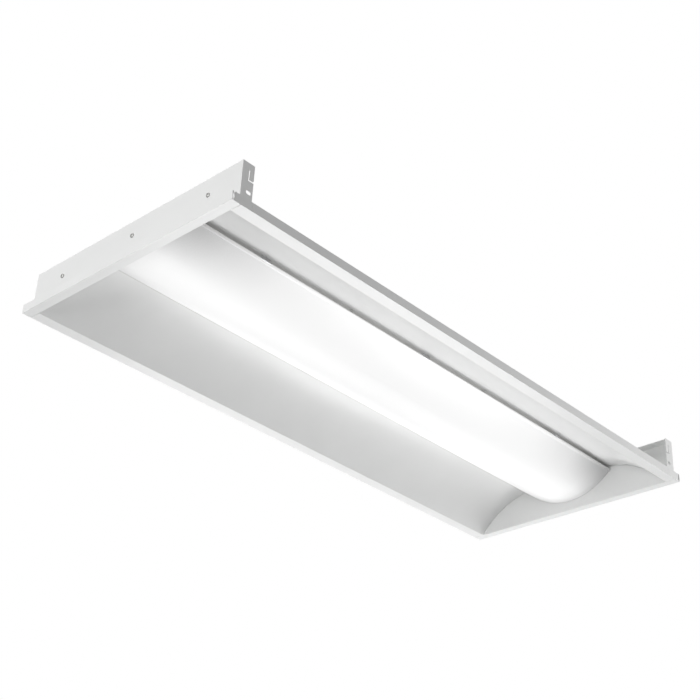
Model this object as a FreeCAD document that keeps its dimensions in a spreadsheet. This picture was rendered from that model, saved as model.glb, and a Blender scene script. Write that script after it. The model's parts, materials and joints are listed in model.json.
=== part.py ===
import FreeCAD, Part
import math
import os
import re

import Sketcher

# A recessed troffer: a shallow steel light that lies in a ceiling grid, with two curved white wings and one
# long curved lens between them. X runs along the length, Z is up, and the room is below. The origin is the
# middle of the opening, in the plane of the trim's underside. Millimetres throughout.

SIZES = (
    # the whole fixture
    ("fixture_length", 1213, "outside length, lip to lip"),
    ("fixture_width", 502, "outside width, lip to lip"),
    ("fixture_height", 82, "from the trim's underside to the top"),
    ("steel", 0.8, "thickness of every painted sheet"),
    ("fit_gap", 0.3, "air between neighbours that don't touch"),
    # the trim that rests on the ceiling grid
    ("end_trim", 16, "width of the trim at the two short ends"),
    ("side_trim", 22, "width of the trim along the two long sides"),
    ("lip_height", 16, "height of the upstanding lip"),
    ("hem_depth", 5, "how far the lip's edge is folded back down"),
    ("hem_gap", 0.5, "air inside the fold"),
    ("seam_gap", 1, "seam between an end's trim and a side's trim"),
    # end plates
    ("flange_inset", 2.6, "from the lip's outer face to the return flange"),
    ("return_flange", 23.4, "depth of the return flanges at an end plate's sides"),
    ("top_flange", 20, "depth of the flange along an end plate's top"),
    ("flange_foot", 2, "height of the return flange's lower edge"),
    ("corner_relief", 5, "notch in the lip at each corner, with the hem beside it"),
    ("hanger_inset", 15.4, "from the plate to the middle of the hanger slot"),
    ("hanger_height", 30, "height of the hanger slot's middle"),
    ("hanger_length", 10, "hanger slot, end to end"),
    ("hanger_width", 6.5, "hanger slot, across"),
    ("clip_width", 8.4, "width of a grid clip"),
    ("clip_low", 53, "height of a grid clip's lower end at rest"),
    ("clip_high", 70, "height of a grid clip's bending line"),
    ("clip_slit", 2, "slit beside a grid clip"),
    ("clip_gap", 2.5, "slit below a grid clip"),
    # wings
    ("wing_inner", 102, "half the gap between the two wings"),
    ("wing_rise", 70.6, "height of a wing's inner edge"),
    ("wing_radius", 200, "radius of a wing's curve"),
    ("wing_flange", 24, "flange by which a wing hangs from the top"),
    ("wing_tab_width", 16, "tab at a wing's end"),
    ("wing_tab_reach", 5, "tab beyond its screw"),
    ("wing_screw_inset", 53, "wing end screw, from the curve's outer edge"),
    ("wing_screw_off", 4.7, "wing end screw, above the curve's room side"),
    # the top and its access opening
    ("top_skirt", 8, "turned-down edge of the top"),
    ("access_place", -400, "middle of the access opening along the length"),
    ("access_length", 130, "access opening along the length"),
    ("access_width", 84, "access opening across"),
    ("access_lap", 10, "access plate's lap round its opening"),
    ("knockout_radius", 11.1, "conduit knockout, half of seven eighths of an inch"),
    ("knockout_spread", 30, "knockouts, from the access plate's middle"),
    ("access_slack", 0.4, "extra air round the access screw below its plate"),
    ("access_screw_edge", 5, "access screw, from the plate's free edge"),
    # tray that carries the boards and the driver
    ("tray_height", 47, "underside of the tray's face"),
    ("tray_slope", 18, "how far the tray's sloping side leans out"),
    ("tray_seat", 10, "width of the tray's flange"),
    ("tray_edge_gap", 8, "from the wing's inner edge to the tray's flange"),
    ("tray_screw_inset", 5, "tray screws, from the flange's edge"),
    ("tray_screw_end", 34.7, "last tray screw, from the end plate"),
    ("tray_tab_width", 20, "tab at the tray's end"),
    ("tray_tab_height", 13, "height of that tab"),
    ("tray_screw_height", 54, "tray end screw, height"),
    ("grommet_place", 75, "wire hole in the tray, along the length"),
    ("grommet_hole", 6, "radius of the wire hole"),
    ("grommet_bore", 4.2, "radius inside the grommet"),
    ("grommet_lip", 8.5, "radius of the grommet's lips"),
    ("grommet_wall", 1, "thickness of a lip"),
    # lens
    ("lens_rise", 41.6, "height of the beads over the lens's lowest line"),
    ("lens_wall", 2, "thickness of the lens"),
    ("lens_bottom", 19.5, "height of the lens's lowest line"),
    ("lens_end_gap", 0.7, "air at each end of the lens"),
    ("bead_inset", 2, "bead on a lens edge, from the wing's inner edge"),
    ("bead_radius", 3, "radius of the bead"),
    ("bead_play", 0.3, "air round the bead"),
    ("rail_wall", 1, "wall of the hinge rail"),
    ("rail_mouth", 129, "angle of the hinge rail's open side"),
    ("rail_mouth_turn", 270, "direction that the hinge rail's mouth faces"),
    ("fin_gap", 0.6, "air over the rail's and the catches' fins"),
    ("catch_wall", 0.7, "spring steel of the lens catches"),
    ("catch_length", 20, "length of one lens catch"),
    ("catch_pitch", 400, "lens catches, one to the next"),
    ("catch_lip", 1.2, "a catch's legs, below the bead's middle"),
    ("rivet_end", 29.7, "last rivet of the rail and the top, from the end plate"),
    # lamps
    ("board_end_gap", 20.7, "from the end plate to a board's end"),
    ("board_width", 22, "across a board"),
    ("board_wall", 1.6, "thickness of a board"),
    ("board_side", 42, "board rows, from the middle"),
    ("board_gap", 7, "from the middle to a board's end"),
    ("board_screw_edge", 11, "board screws, from a board's ends"),
    ("board_screw_side", 8, "board screws, from a row's middle line"),
    ("emitter_size", 3, "one emitter, square"),
    ("emitter_height", 0.7, "one emitter, height"),
    ("emitter_pitch", 20, "emitters, one to the next"),
    ("emitter_start", 11, "first emitter, from a board's inner end"),
    ("emitter_edge", 9, "least from an emitter to a board's outer end"),
    ("plug_length", 9, "board connector along the length"),
    ("plug_width", 7, "board connector across"),
    ("plug_height", 8, "board connector, height"),
    ("plug_place", 28, "board connectors, from the middle along the length"),
    # driver
    ("driver_place", -110, "middle of the driver along the length"),
    ("driver_length", 230, "driver without its ears"),
    ("driver_width", 58, "across the driver"),
    ("driver_height", 26, "height of the driver"),
    ("driver_ear", 14, "ear at each end of the driver"),
    ("driver_bevel", 3, "bevel along the driver's upper edges"),
    ("terminal_length", 14, "terminal block along the length"),
    ("terminal_width", 26, "terminal block across"),
    ("terminal_height", 11, "height of a terminal block"),
    ("terminal_rise", 3.4, "air under a terminal block"),
    # wires
    ("wire_radius", 1.2, "one insulated wire"),
    ("supply_pitch", 9, "supply wires, one to the next"),
    ("supply_start", 6, "straight run out of the driver's terminal"),
    ("supply_slope", 12, "half the run in which a supply wire comes down"),
    ("lamp_side", 1.6, "lamp wires in the grommet, from the middle"),
    ("lamp_bend", 8, "bend of a lamp wire above the grommet"),
    ("lamp_low_bend", 6.5, "bend of a lamp wire below the grommet"),
    ("lamp_turn", 12, "bend of a lamp wire towards its connector"),
    ("saddle_length", 6, "wire saddle, along the wires"),
    ("saddle_wall", 1, "wire saddle, round a wire"),
    ("supply_saddle", -300, "supply wires' saddles, along the length"),
    ("lamp_saddle", 45, "lamp wires' saddle, along the length"),
    ("ground_step", 18, "ground screw, from the push-in connectors' middle"),
    ("ring_radius", 5.4, "ring at the end of the ground wire"),
    ("ring_wall", 1, "thickness of that ring"),
    ("splice_length", 20, "push-in connector, length"),
    ("splice_width", 8.4, "push-in connector, across"),
    ("splice_height", 8, "push-in connector, height"),
    ("splice_place", -340, "push-in connectors, along the length"),
    # fasteners
    ("screw_radius", 1.6, "shank of a sheet-metal screw"),
    ("screw_head", 4, "head of that screw, radius"),
    ("screw_head_height", 2.2, "height of that head"),
    ("small_screw", 1.2, "shank of a board screw"),
    ("small_head", 2.6, "head of a board screw, radius"),
    ("small_head_height", 1.4, "height of that head"),
    ("rivet_radius", 1.6, "shank of a rivet"),
    ("rivet_head", 2.4, "head of a rivet, radius"),
    ("rivet_edge", 2.5, "rivet of a fin, from the fin's edge"),
    ("rivet_head_height", 1, "height of a rivet's head"),
    ("hole_play", 0.05, "air round a shank in its hole"),
)
VALUES = {name: value for name, value, note in SIZES}

doc = FreeCAD.newDocument("troffer")
sheet = doc.addObject("Spreadsheet::Sheet", "Sizes")
for row, (name, value, note) in enumerate(SIZES, start=1):
    sheet.set(f"A{row}", note)
    sheet.set(f"B{row}", str(value))
    sheet.setAlias(f"B{row}", name)
doc.recompute()

PARTS = []

# Small round things are drawn with a few flat sides. A hole's sides touch its radius from outside.
BAR_SIDES = 12
WIRE_SIDES = 8
AROUND = 1 / math.cos(math.pi / BAR_SIDES)

# Places that several pieces share, as formulas in the sheet's names
LIP_X = "(fixture_length / 2)"
LIP_Y = "(fixture_width / 2)"
PLATE_OUT = "(fixture_length / 2 - end_trim)"
PLATE_IN = "(fixture_length / 2 - end_trim - steel)"
FLANGE_Y = "(fixture_width / 2 - flange_inset)"
WING_OUT = "(fixture_width / 2 - side_trim)"
TOP_SHEET = "(fixture_height - 2 * steel)"
WING_TOP = "(fixture_height - 3 * steel)"
TRAY_TOP = "(fixture_height - 4 * steel)"
TRAY_FLOOR = "(tray_height + steel)"
BEAD_Y = "(wing_inner - bead_inset)"
BEAD_Z = "(lens_bottom + lens_wall / 2 + lens_rise)"
LENS_MID = f"((lens_rise^2 + {BEAD_Y}^2) / (2 * lens_rise))"
LENS_OUTER = f"({LENS_MID} + lens_wall / 2)"
LENS_CORE = f"({LENS_MID} - lens_wall / 2)"
LENS_AXIS = f"(lens_bottom + {LENS_OUTER})"
SOCKET = "(bead_radius + bead_play)"
CHORD = f"sqrt(({WING_OUT} - wing_inner)^2 + wing_rise^2)"
APOTHEM = f"sqrt(wing_radius^2 - ({CHORD})^2 / 4)"
ARC_Y = f"((wing_inner + {WING_OUT}) / 2 - {APOTHEM} * wing_rise / {CHORD})"
ARC_Z = f"(wing_rise / 2 - {APOTHEM} * ({WING_OUT} - wing_inner) / {CHORD})"
WING_SCREW_Y = f"({WING_OUT} - wing_screw_inset)"
WING_SCREW_Z = f"({ARC_Z} + sqrt((wing_radius + wing_screw_off)^2 - ({WING_SCREW_Y} - {ARC_Y})^2))"
HEM = "(2 * steel + hem_gap)"
TRAY_OUT = "(wing_inner - tray_edge_gap)"
TRAY_SHOULDER = f"({TRAY_OUT} - tray_seat)"
TRAY_HALF = f"({TRAY_SHOULDER} - tray_slope)"
TRAY_SCREW_PITCH = f"(({PLATE_IN} - tray_screw_end) / 1.5)"
RIVET_PITCH = f"(({PLATE_IN} - rivet_end) / 2)"
BOARD_LENGTH = f"({PLATE_IN} - board_gap - board_end_gap)"
EMITTER_COUNT = f"(floor(({BOARD_LENGTH} - emitter_start - emitter_edge) / emitter_pitch) + 1)"
BOARD_LOW = "(tray_height - board_wall)"
CLIP_X = f"({PLATE_OUT} - return_flange)"
HOLE = "(screw_radius + hole_play)"
FIN_TOP = f"({WING_TOP} - fin_gap)"
FIN_RIVET_Z = f"({FIN_TOP} - rivet_edge)"
TERMINAL_LOW = f"({TRAY_FLOOR} + terminal_rise)"
TERMINAL_Z = f"({TERMINAL_LOW} + terminal_height / 2)"
TERMINAL_LEFT = "(driver_place - driver_length / 2 - terminal_length)"
TERMINAL_RIGHT = "(driver_place + driver_length / 2 + terminal_length)"
LAMP_LOW = "(tray_height - grommet_wall - lamp_low_bend)"
SPLICE_Z = f"({TRAY_FLOOR} + splice_height / 2)"
GROUND_Z = f"({TRAY_FLOOR} + wire_radius)"


def tie(text):
    """The formula with each of the sheet's names written out for an expression."""
    return re.sub(r"[a-z]+(?:_[a-z]+)*", lambda found: "Sizes." + found.group() if found.group() in VALUES
                  else found.group(), str(text))


def number(text):
    """The formula's value now."""
    return float(sheet.evalExpression(tie(text)))


def keep(piece, label, turn=0):
    """Makes piece the sub-part of that name, turned about the vertical axis."""
    piece.Label = label
    piece.Placement = FreeCAD.Placement(FreeCAD.Vector(), FreeCAD.Rotation(FreeCAD.Vector(0, 0, 1), turn))
    PARTS.append(piece)
    return piece


# Sketches: every corner is held by two distances from the origin

def hold(sketch, kind, *where_and_text):
    *where, text = where_and_text
    index = sketch.addConstraint(Sketcher.Constraint(kind, *where, number(text)))
    sketch.setExpression(f"Constraints[{index}]", tie(text))


def hold_point(sketch, edge, end, across, up):
    hold(sketch, "DistanceX", -1, 1, edge, end, across)
    hold(sketch, "DistanceY", -1, 1, edge, end, up)


def point(across, up):
    return FreeCAD.Vector(number(across), number(up), 0)


def arc_between(start, end, radius):
    """The short arc from start to end. A positive radius has its centre to the right of the way."""
    way = end - start
    middle = (start + end) / 2
    right = FreeCAD.Vector(way.y, -way.x, 0).normalize()
    reach = math.sqrt(max(0, radius ** 2 - way.Length ** 2 / 4)) * math.copysign(1, radius)
    centre = middle + right * reach
    circle = Part.Circle(centre, FreeCAD.Vector(0, 0, 1), abs(radius))
    first, last = circle.parameter(start), circle.parameter(end)
    if radius > 0:
        first, last = last, first
    return Part.ArcOfCircle(circle, first, last if last > first else last + 2 * math.pi)


def draw_path(sketch, corners, arcs=None, closed=True):
    """Lines from corner to corner. arcs gives a side's number the radius of its arc, as a formula and a side."""
    arcs = arcs or {}
    base = sketch.GeometryCount
    sides = len(corners) if closed else len(corners) - 1
    ends = []
    for side in range(sides):
        start, end = point(*corners[side]), point(*corners[(side + 1) % len(corners)])
        if side in arcs:
            formula, sign = arcs[side]
            sketch.addGeometry(arc_between(start, end, sign * number(formula)))
            ends.append((2, 1) if sign > 0 else (1, 2))
        else:
            sketch.addGeometry(Part.LineSegment(start, end))
            ends.append((1, 2))
    for side in range(sides if closed else sides - 1):
        after = (side + 1) % sides
        sketch.addConstraint(Sketcher.Constraint("Coincident", base + side, ends[side][1],
                                                 base + after, ends[after][0]))
    for side in range(sides):
        hold_point(sketch, base + side, ends[side][0], *corners[side])
        if side in arcs:
            hold(sketch, "Radius", base + side, arcs[side][0])
    if not closed:
        hold_point(sketch, base + sides - 1, ends[-1][1], *corners[-1])


def draw_box(sketch, left, right, low, high):
    draw_path(sketch, [(left, low), (right, low), (right, high), (left, high)])


def draw_circle(sketch, across, up, radius):
    circle = Part.Circle(point(across, up), FreeCAD.Vector(0, 0, 1), number(radius))
    index = sketch.addGeometry(circle)
    hold_point(sketch, index, 3, across, up)
    hold(sketch, "Radius", index, radius)


def draw_hole(sketch, across, up, radius):
    """A small hole for a shank."""
    corners = []
    for side in range(BAR_SIDES):
        angle = 2 * math.pi * side / BAR_SIDES
        corners.append((f"{across} + ({radius}) * {AROUND * math.cos(angle):.6f}",
                        f"{up} + ({radius}) * {AROUND * math.sin(angle):.6f}"))
    draw_path(sketch, corners)


def draw_slot(sketch, across, up, length, width):
    """A slot with round ends, lengthwise across the sketch."""
    half = f"(({length}) - ({width})) / 2"
    rim = f"({width}) / 2"
    corners = [(f"{across} - {half}", f"{up} - {rim}"), (f"{across} + {half}", f"{up} - {rim}"),
               (f"{across} + {half}", f"{up} + {rim}"), (f"{across} - {half}", f"{up} + {rim}")]
    base = sketch.GeometryCount
    low_left, low_right, high_right, high_left = [point(*corner) for corner in corners]
    out = FreeCAD.Vector(number(rim), 0, 0)
    middle = FreeCAD.Vector(0, number(rim), 0)
    sketch.addGeometry(Part.LineSegment(low_left, low_right))
    sketch.addGeometry(Part.Arc(low_right, low_right + middle + out, high_right))
    sketch.addGeometry(Part.LineSegment(high_right, high_left))
    sketch.addGeometry(Part.Arc(high_left, low_left + middle - out, low_left))
    for first, end, second, start in ((0, 2, 1, 1), (1, 2, 2, 1), (2, 2, 3, 1), (3, 2, 0, 1)):
        sketch.addConstraint(Sketcher.Constraint("Coincident", base + first, end, base + second, start))
    hold_point(sketch, base, 1, *corners[0])
    hold_point(sketch, base, 2, *corners[1])
    hold_point(sketch, base + 2, 1, *corners[2])
    hold_point(sketch, base + 2, 2, *corners[3])
    hold(sketch, "DistanceX", -1, 1, base + 1, 3, f"{across} + {half}")
    hold(sketch, "DistanceX", -1, 1, base + 3, 3, f"{across} - {half}")


# Bodies

def new_body(name, groups=False):
    body = doc.addObject("PartDesign::Body", name)
    body.AllowCompound = groups
    return body


def origin_feature(body, role):
    return next(feature for feature in body.Origin.OriginFeatures if feature.Role == role)


def sketch_on(body, role, away="0"):
    """A sketch on one of the body's own origin planes, or that far in front of it."""
    sketch = body.newObject("Sketcher::SketchObject", body.Name + "_sketch")
    sketch.AttachmentSupport = [(origin_feature(body, role), "")]
    sketch.MapMode = "FlatFace"
    if away != "0":
        sketch.setExpression("AttachmentOffset.Base.z", tie(away))
    return sketch


def pad(body, sketch, length, both_ways=False, backwards=False):
    feature = body.newObject("PartDesign::Pad", body.Name + "_pad")
    feature.Profile = sketch
    feature.SideType = "Symmetric" if both_ways else "One side"
    feature.Reversed = backwards
    feature.setExpression("Length", tie(length))
    return feature


def cut_through(body, sketch):
    """A pocket both ways through everything. The volume must shrink."""
    doc.recompute()
    before = body.Shape.Volume
    feature = body.newObject("PartDesign::Pocket", body.Name + "_pocket")
    feature.Profile = sketch
    feature.SideType = "Symmetric"
    feature.Type = "ThroughAll"
    doc.recompute()
    if body.Shape.Volume >= before:
        raise RuntimeError(body.Name + ": the pocket cuts nothing")
    return feature


def mirror(body, originals, role):
    feature = body.newObject("PartDesign::Mirrored", body.Name + "_mirror")
    feature.Originals = originals
    feature.MirrorPlane = (origin_feature(body, role), [""])
    body.Tip = feature
    return feature


def row(body, originals, count, pitch, role="X_Axis"):
    feature = body.newObject("PartDesign::LinearPattern", body.Name + "_row")
    feature.Originals = originals
    feature.Direction = (origin_feature(body, role), [""])
    feature.setExpression("Occurrences", tie(count))
    feature.setExpression("Length", tie(f"({pitch}) * (({count}) - 1)"))
    body.Tip = feature
    return feature


# Bent sheets, drilled holes and fasteners

ACROSS = FreeCAD.Rotation(FreeCAD.Vector(1, 1, 1), 120)


def bent_sheet(name, path, length, arcs=None):
    """A sheet bent along path, which is its room side in the Y-Z plane, and as long as length along X."""
    sketch = doc.addObject("Sketcher::SketchObject", name + "_path")
    draw_path(sketch, path, arcs, closed=False)
    sketch.Placement = FreeCAD.Placement(FreeCAD.Vector(), ACROSS)
    thick = doc.addObject("Part::Offset2D", name + "_section")
    thick.Source = sketch
    thick.Mode = "Skin"
    thick.Fill = True
    thick.Join = "Arc"
    thick.setExpression("Value", tie("-steel"))
    solid = doc.addObject("Part::Extrusion", name + "_sheet")
    solid.Base = thick
    solid.DirMode = "Custom"
    solid.Dir = FreeCAD.Vector(1, 0, 0)
    solid.Symmetric = True
    solid.Solid = True
    solid.setExpression("LengthFwd", tie(length))
    return solid


def place(piece, x, y, z):
    for axis, text in zip("xyz", (x, y, z)):
        piece.setExpression("Placement.Base." + axis, tie(text))


DIRECTIONS = {
    "+X": FreeCAD.Rotation(FreeCAD.Vector(0, 1, 0), 90),
    "-X": FreeCAD.Rotation(FreeCAD.Vector(0, 1, 0), -90),
    "+Y": FreeCAD.Rotation(FreeCAD.Vector(1, 0, 0), -90),
    "-Y": FreeCAD.Rotation(FreeCAD.Vector(1, 0, 0), 90),
    "+Z": FreeCAD.Rotation(),
    "-Z": FreeCAD.Rotation(FreeCAD.Vector(1, 0, 0), 180),
}


def cylinder(name, spot, direction, radius, height):
    solid = doc.addObject("Part::Cylinder", name)
    solid.setExpression("Radius", tie(radius))
    solid.setExpression("Height", tie(height))
    solid.Placement.Rotation = DIRECTIONS[direction]
    place(solid, *spot)
    return solid


def bar(name, spot, direction, radius, height):
    """A small round bar, whose corners reach the radius."""
    solid = doc.addObject("Part::Prism", name)
    solid.Polygon = BAR_SIDES
    solid.setExpression("Circumradius", tie(radius))
    solid.setExpression("Height", tie(height))
    solid.Placement.Rotation = DIRECTIONS[direction]
    place(solid, *spot)
    return solid


def box(name, x, y, z):
    """A block between two formulas along each axis."""
    solid = doc.addObject("Part::Box", name)
    for side, (low, high) in zip(("Length", "Width", "Height"), (x, y, z)):
        solid.setExpression(side, tie(f"({high}) - ({low})"))
    place(solid, x[0], y[0], z[0])
    return solid


def fuse(name, pieces):
    solid = doc.addObject("Part::MultiFuse", name)
    solid.Shapes = pieces
    return solid


def cut(name, base, tools):
    solid = doc.addObject("Part::Cut", name)
    solid.Base = base
    solid.Tool = tools[0] if len(tools) == 1 else group(name + "_tools", tools)
    return solid


def group(name, pieces):
    solid = doc.addObject("Part::Compound", name)
    solid.Links = pieces
    return solid


def drill(name, base, spots, direction, radius, depth):
    """base with a small hole at each spot. The drill starts at the spot and goes depth along direction."""
    tools = [bar(name + "_drill", spot, direction, f"({radius}) * {AROUND}", depth) for spot in spots]
    return cut(name, base, tools)


def step_from(spot, direction, distance):
    """The spot moved by a formula along one of the six directions."""
    sign, axis = direction
    moved = list(spot)
    index = "XYZ".index(axis)
    moved[index] = f"{moved[index]} {sign} ({distance})"
    return tuple(moved)


OPPOSITE = {"+X": "-X", "-X": "+X", "+Y": "-Y", "-Y": "+Y", "+Z": "-Z", "-Z": "+Z"}


def screw(name, seat, direction, length, radius, head, head_height):
    """A screw whose head sits on seat and whose shank runs along direction."""
    shank = bar(name + "_shank", seat, direction, radius, length)
    top = bar(name + "_head", seat, OPPOSITE[direction], head, head_height)
    return fuse(name + "_screw", [shank, top])


def rivet(name, seat, direction, grip):
    """A rivet with a head on seat and a closed head beyond its grip."""
    shank = bar(name + "_shank", seat, direction, "rivet_radius", grip)
    near = bar(name + "_near", seat, OPPOSITE[direction], "rivet_head", "rivet_head_height")
    beyond = step_from(seat, direction, grip)
    far = bar(name + "_far", beyond, direction, "rivet_head * 0.8", "rivet_head_height")
    return fuse(name + "_rivet", [shank, near, far])


def both_signs(*spots):
    """Each spot at minus and plus the same distance from the middle, across the fixture."""
    return [(x, f"{sign}({y})", z) for x, y, z in spots for sign in ("-", "")]


def spaced(count, pitch, middle="0"):
    """Places along the length, evenly spaced about the middle."""
    return [f"{middle} + ({pitch}) * {index - (count - 1) / 2}" for index in range(count)]


# Where the fasteners go. The pieces that they hold are drilled at the same spots.

WING_END_SPOT = (WING_SCREW_Y, WING_SCREW_Z)
TRAY_END_SPOT = ("0", "tray_screw_height")
TRAY_SCREW_Y = f"({TRAY_OUT} - tray_screw_inset)"
TRAY_SCREWS = both_signs(*[(x, TRAY_SCREW_Y, TRAY_TOP) for x in spaced(4, TRAY_SCREW_PITCH)])
TOP_RIVETS = both_signs(*[(x, "wing_inner - steel * 6", f"{TOP_SHEET} + steel")
                          for x in spaced(5, RIVET_PITCH)])
RAIL_PLACES = spaced(5, RIVET_PITCH)
CATCH_PLACES = spaced(3, "catch_pitch")
BOARD_HOLES = [(f"{near} + {edge}", side) for near, edge in
               (("board_gap", "board_screw_edge"), (f"board_gap + {BOARD_LENGTH}", "(0 - board_screw_edge)"))
               for side in ("board_side - board_screw_side", "board_side + board_screw_side")]
DRIVER_EARS = [f"driver_place {sign} (driver_length / 2 + driver_ear / 2)" for sign in "-+"]
ACCESS_SCREW_Y = "(access_width / 2 + access_lap - access_screw_edge)"
GROUND_SPOT = ("splice_place - ground_step", "supply_pitch", f"{TRAY_FLOOR} + ring_wall")


def wing_reflector(label, turn, fin_places):
    """One wing from its hanging flange down the curve to the trim and up the hemmed lip."""
    path = [
        ("wing_inner - wing_flange", WING_TOP),
        ("wing_inner", WING_TOP),
        ("wing_inner", "wing_rise"),
        (WING_OUT, "0"),
        (LIP_Y, "0"),
        (LIP_Y, "lip_height"),
        (f"{LIP_Y} - {HEM}", "lip_height"),
        (f"{LIP_Y} - {HEM}", "lip_height - hem_depth"),
    ]
    length = f"2 * ({PLATE_IN} - seam_gap)"
    sheet_part = bent_sheet(label, path, length, {2: ("wing_radius", 1)})
    tabs = [wing_tab(label, sign) for sign in (-1, 1)]
    beyond = f"({CLIP_X} - fit_gap)"
    notches = [box(label + "_notch", x, (f"{LIP_Y} - {HEM} - fit_gap", f"{LIP_Y} + 1"),
                   ("steel", "lip_height + 1")) for x in ((f"-{PLATE_OUT}", f"-{beyond}"), (beyond, PLATE_OUT))]
    whole = cut(label + "_notched", fuse(label + "_whole", [sheet_part, *tabs]), notches)
    fin_spots = [(x, "wing_inner", FIN_RIVET_Z) for x in fin_places]
    drilled = drill(label + "_fin_holes", whole, fin_spots, "+Y", HOLE, "steel * 3")
    top_spots = [spot for spot in TOP_RIVETS if not spot[1].startswith("-")]
    drilled = drill(label + "_top_holes", drilled, top_spots, "-Z", HOLE, "steel * 3")
    tray_spots = [spot for spot in TRAY_SCREWS if not spot[1].startswith("-")]
    drilled = drill(label + "_tray_holes", drilled, tray_spots, "+Z", HOLE, "steel * 3")
    return keep(drilled, label, turn)


def wing_tab(label, sign):
    """The tab that a wing's end turns up against the end plate, square to the curve, with its screw hole."""
    side, height = WING_END_SPOT
    reach = f"sqrt(({side} - {ARC_Y})^2 + ({height} - {ARC_Z})^2)"
    sine, cosine = f"({side} - {ARC_Y}) / {reach}", f"({height} - {ARC_Z}) / {reach}"
    foot = f"({reach} - wing_radius - steel / 2)"
    corners = []
    for along, out in (("-wing_tab_width / 2", f"-{foot}"), ("wing_tab_width / 2", f"-{foot}"),
                       ("wing_tab_width / 2", "wing_tab_reach"), ("-wing_tab_width / 2", "wing_tab_reach")):
        corners.append((f"{side} + ({along}) * {cosine} + ({out}) * {sine}",
                        f"{height} - ({along}) * {sine} + ({out}) * {cosine}"))
    sketch = doc.addObject("Sketcher::SketchObject", label + "_tab_outline")
    draw_path(sketch, corners)
    draw_hole(sketch, side, height, HOLE)
    sketch.Placement = FreeCAD.Placement(FreeCAD.Vector(), ACROSS)
    tab = doc.addObject("Part::Extrusion", label + "_tab")
    tab.Base = sketch
    tab.DirMode = "Custom"
    tab.Dir = FreeCAD.Vector(sign, 0, 0)
    tab.Solid = True
    tab.setExpression("LengthFwd", tie("steel + seam_gap"))
    tab.setExpression("Placement.Base.x", tie(f"{sign} * ({PLATE_IN} - steel - seam_gap)"))
    return tab


def hemmed_lip(out):
    """A lip's section from its outer edge over the folded hem and back down to the trim's upper face."""
    return [(out, "lip_height"), (f"{out} - {HEM}", "lip_height"), (f"{out} - {HEM}", "lip_height - hem_depth"),
            (f"{out} - {HEM} + steel", "lip_height - hem_depth"),
            (f"{out} - {HEM} + steel", "lip_height - steel"), (f"{out} - steel", "lip_height - steel"),
            (f"{out} - steel", "steel")]


def end_plate(label, turn):
    """An upright end with its trim, hemmed lip, return flanges and top flange, made as the one at +X."""
    body = new_body(label)
    profile = sketch_on(body, "XZ_Plane")
    draw_path(profile, [(PLATE_IN, "0"), (LIP_X, "0"), *hemmed_lip(LIP_X), (PLATE_IN, "steel")])
    pad(body, profile, "fixture_width", both_ways=True)
    upright = sketch_on(body, "YZ_Plane", PLATE_IN)
    draw_box(upright, f"-{FLANGE_Y}", FLANGE_Y, "0", "fixture_height")
    side, height = WING_END_SPOT
    draw_hole(upright, side, height, HOLE)
    draw_hole(upright, f"-{side}", height, HOLE)
    draw_hole(upright, *TRAY_END_SPOT, HOLE)
    pad(body, upright, "steel")
    top = sketch_on(body, "XY_Plane", "fixture_height - steel")
    draw_box(top, f"{PLATE_OUT} - top_flange", f"{PLATE_OUT} - steel / 2", f"-{FLANGE_Y}", FLANGE_Y)
    pad(body, top, "steel")
    flange = sketch_on(body, "XZ_Plane", f"{FLANGE_Y} - steel")
    inner = f"{CLIP_X} + clip_width + clip_slit"
    draw_path(flange, [
        (CLIP_X, "flange_foot"), (PLATE_OUT, "flange_foot"), (PLATE_OUT, "fixture_height"),
        (CLIP_X, "fixture_height"), (CLIP_X, "clip_high"), (inner, "clip_high"),
        (inner, "clip_low - clip_gap"), (CLIP_X, "clip_low - clip_gap"),
    ])
    draw_slot(flange, f"{PLATE_OUT} - hanger_inset", "hanger_height", "hanger_length", "hanger_width")
    side_flange = pad(body, flange, "steel")
    side_lip = sketch_on(body, "YZ_Plane", CLIP_X)
    draw_path(side_lip, [(LIP_Y, "steel"), *hemmed_lip(LIP_Y)])
    corner = pad(body, side_lip, f"{LIP_X} - corner_relief - {CLIP_X}")
    mirror(body, [side_flange, corner], "XZ_Plane")
    return keep(body, label, turn)


def grid_clip(label, end, side):
    """A tab of a return flange that bends out over the ceiling grid. It hangs flush in its slit at rest."""
    body = new_body(label)
    outline = sketch_on(body, "XZ_Plane", f"{FLANGE_Y} - steel" if end * side < 0 else f"-{FLANGE_Y}")
    corner = "clip_width / 4"
    draw_path(outline, [
        (f"{CLIP_X} + {corner}", "clip_low"), (f"{CLIP_X} + clip_width", "clip_low"),
        (f"{CLIP_X} + clip_width", "clip_high - hole_play"), (CLIP_X, "clip_high - hole_play"),
        (CLIP_X, f"clip_low + {corner}"),
    ], {4: (corner, -1)})
    pad(body, outline, "steel")
    return keep(body, label, 0 if end > 0 else 180)


def housing_top():
    """The shallow inverted channel over the wings, with the access opening."""
    half = "(wing_inner + steel + rivet_head_height + fit_gap)"
    path = [(f"-{half}", f"{TOP_SHEET} - top_skirt"), (f"-{half}", TOP_SHEET),
            (half, TOP_SHEET), (half, f"{TOP_SHEET} - top_skirt")]
    channel = bent_sheet("housing_top", path, f"2 * ({PLATE_IN} - fit_gap)")
    opening = box("access_opening", ("access_place - access_length / 2", "access_place + access_length / 2"),
                  ("-access_width / 2", "access_width / 2"), (TRAY_TOP, "fixture_height"))
    plate = cut("housing_top_open", channel, [opening])
    plate = drill("housing_top_rivet_holes", plate, TOP_RIVETS, "-Z", HOLE, "steel * 3")
    plate = drill("housing_top_tray_holes", plate, TRAY_SCREWS, "+Z", HOLE, "steel * 4")
    spot = ("access_place", ACCESS_SCREW_Y, TRAY_TOP)
    plate = drill("housing_top_access_hole", plate, [spot], "+Z", f"{HOLE} + access_slack",
                  "steel * 4")
    return keep(plate, "housing_top")


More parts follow.
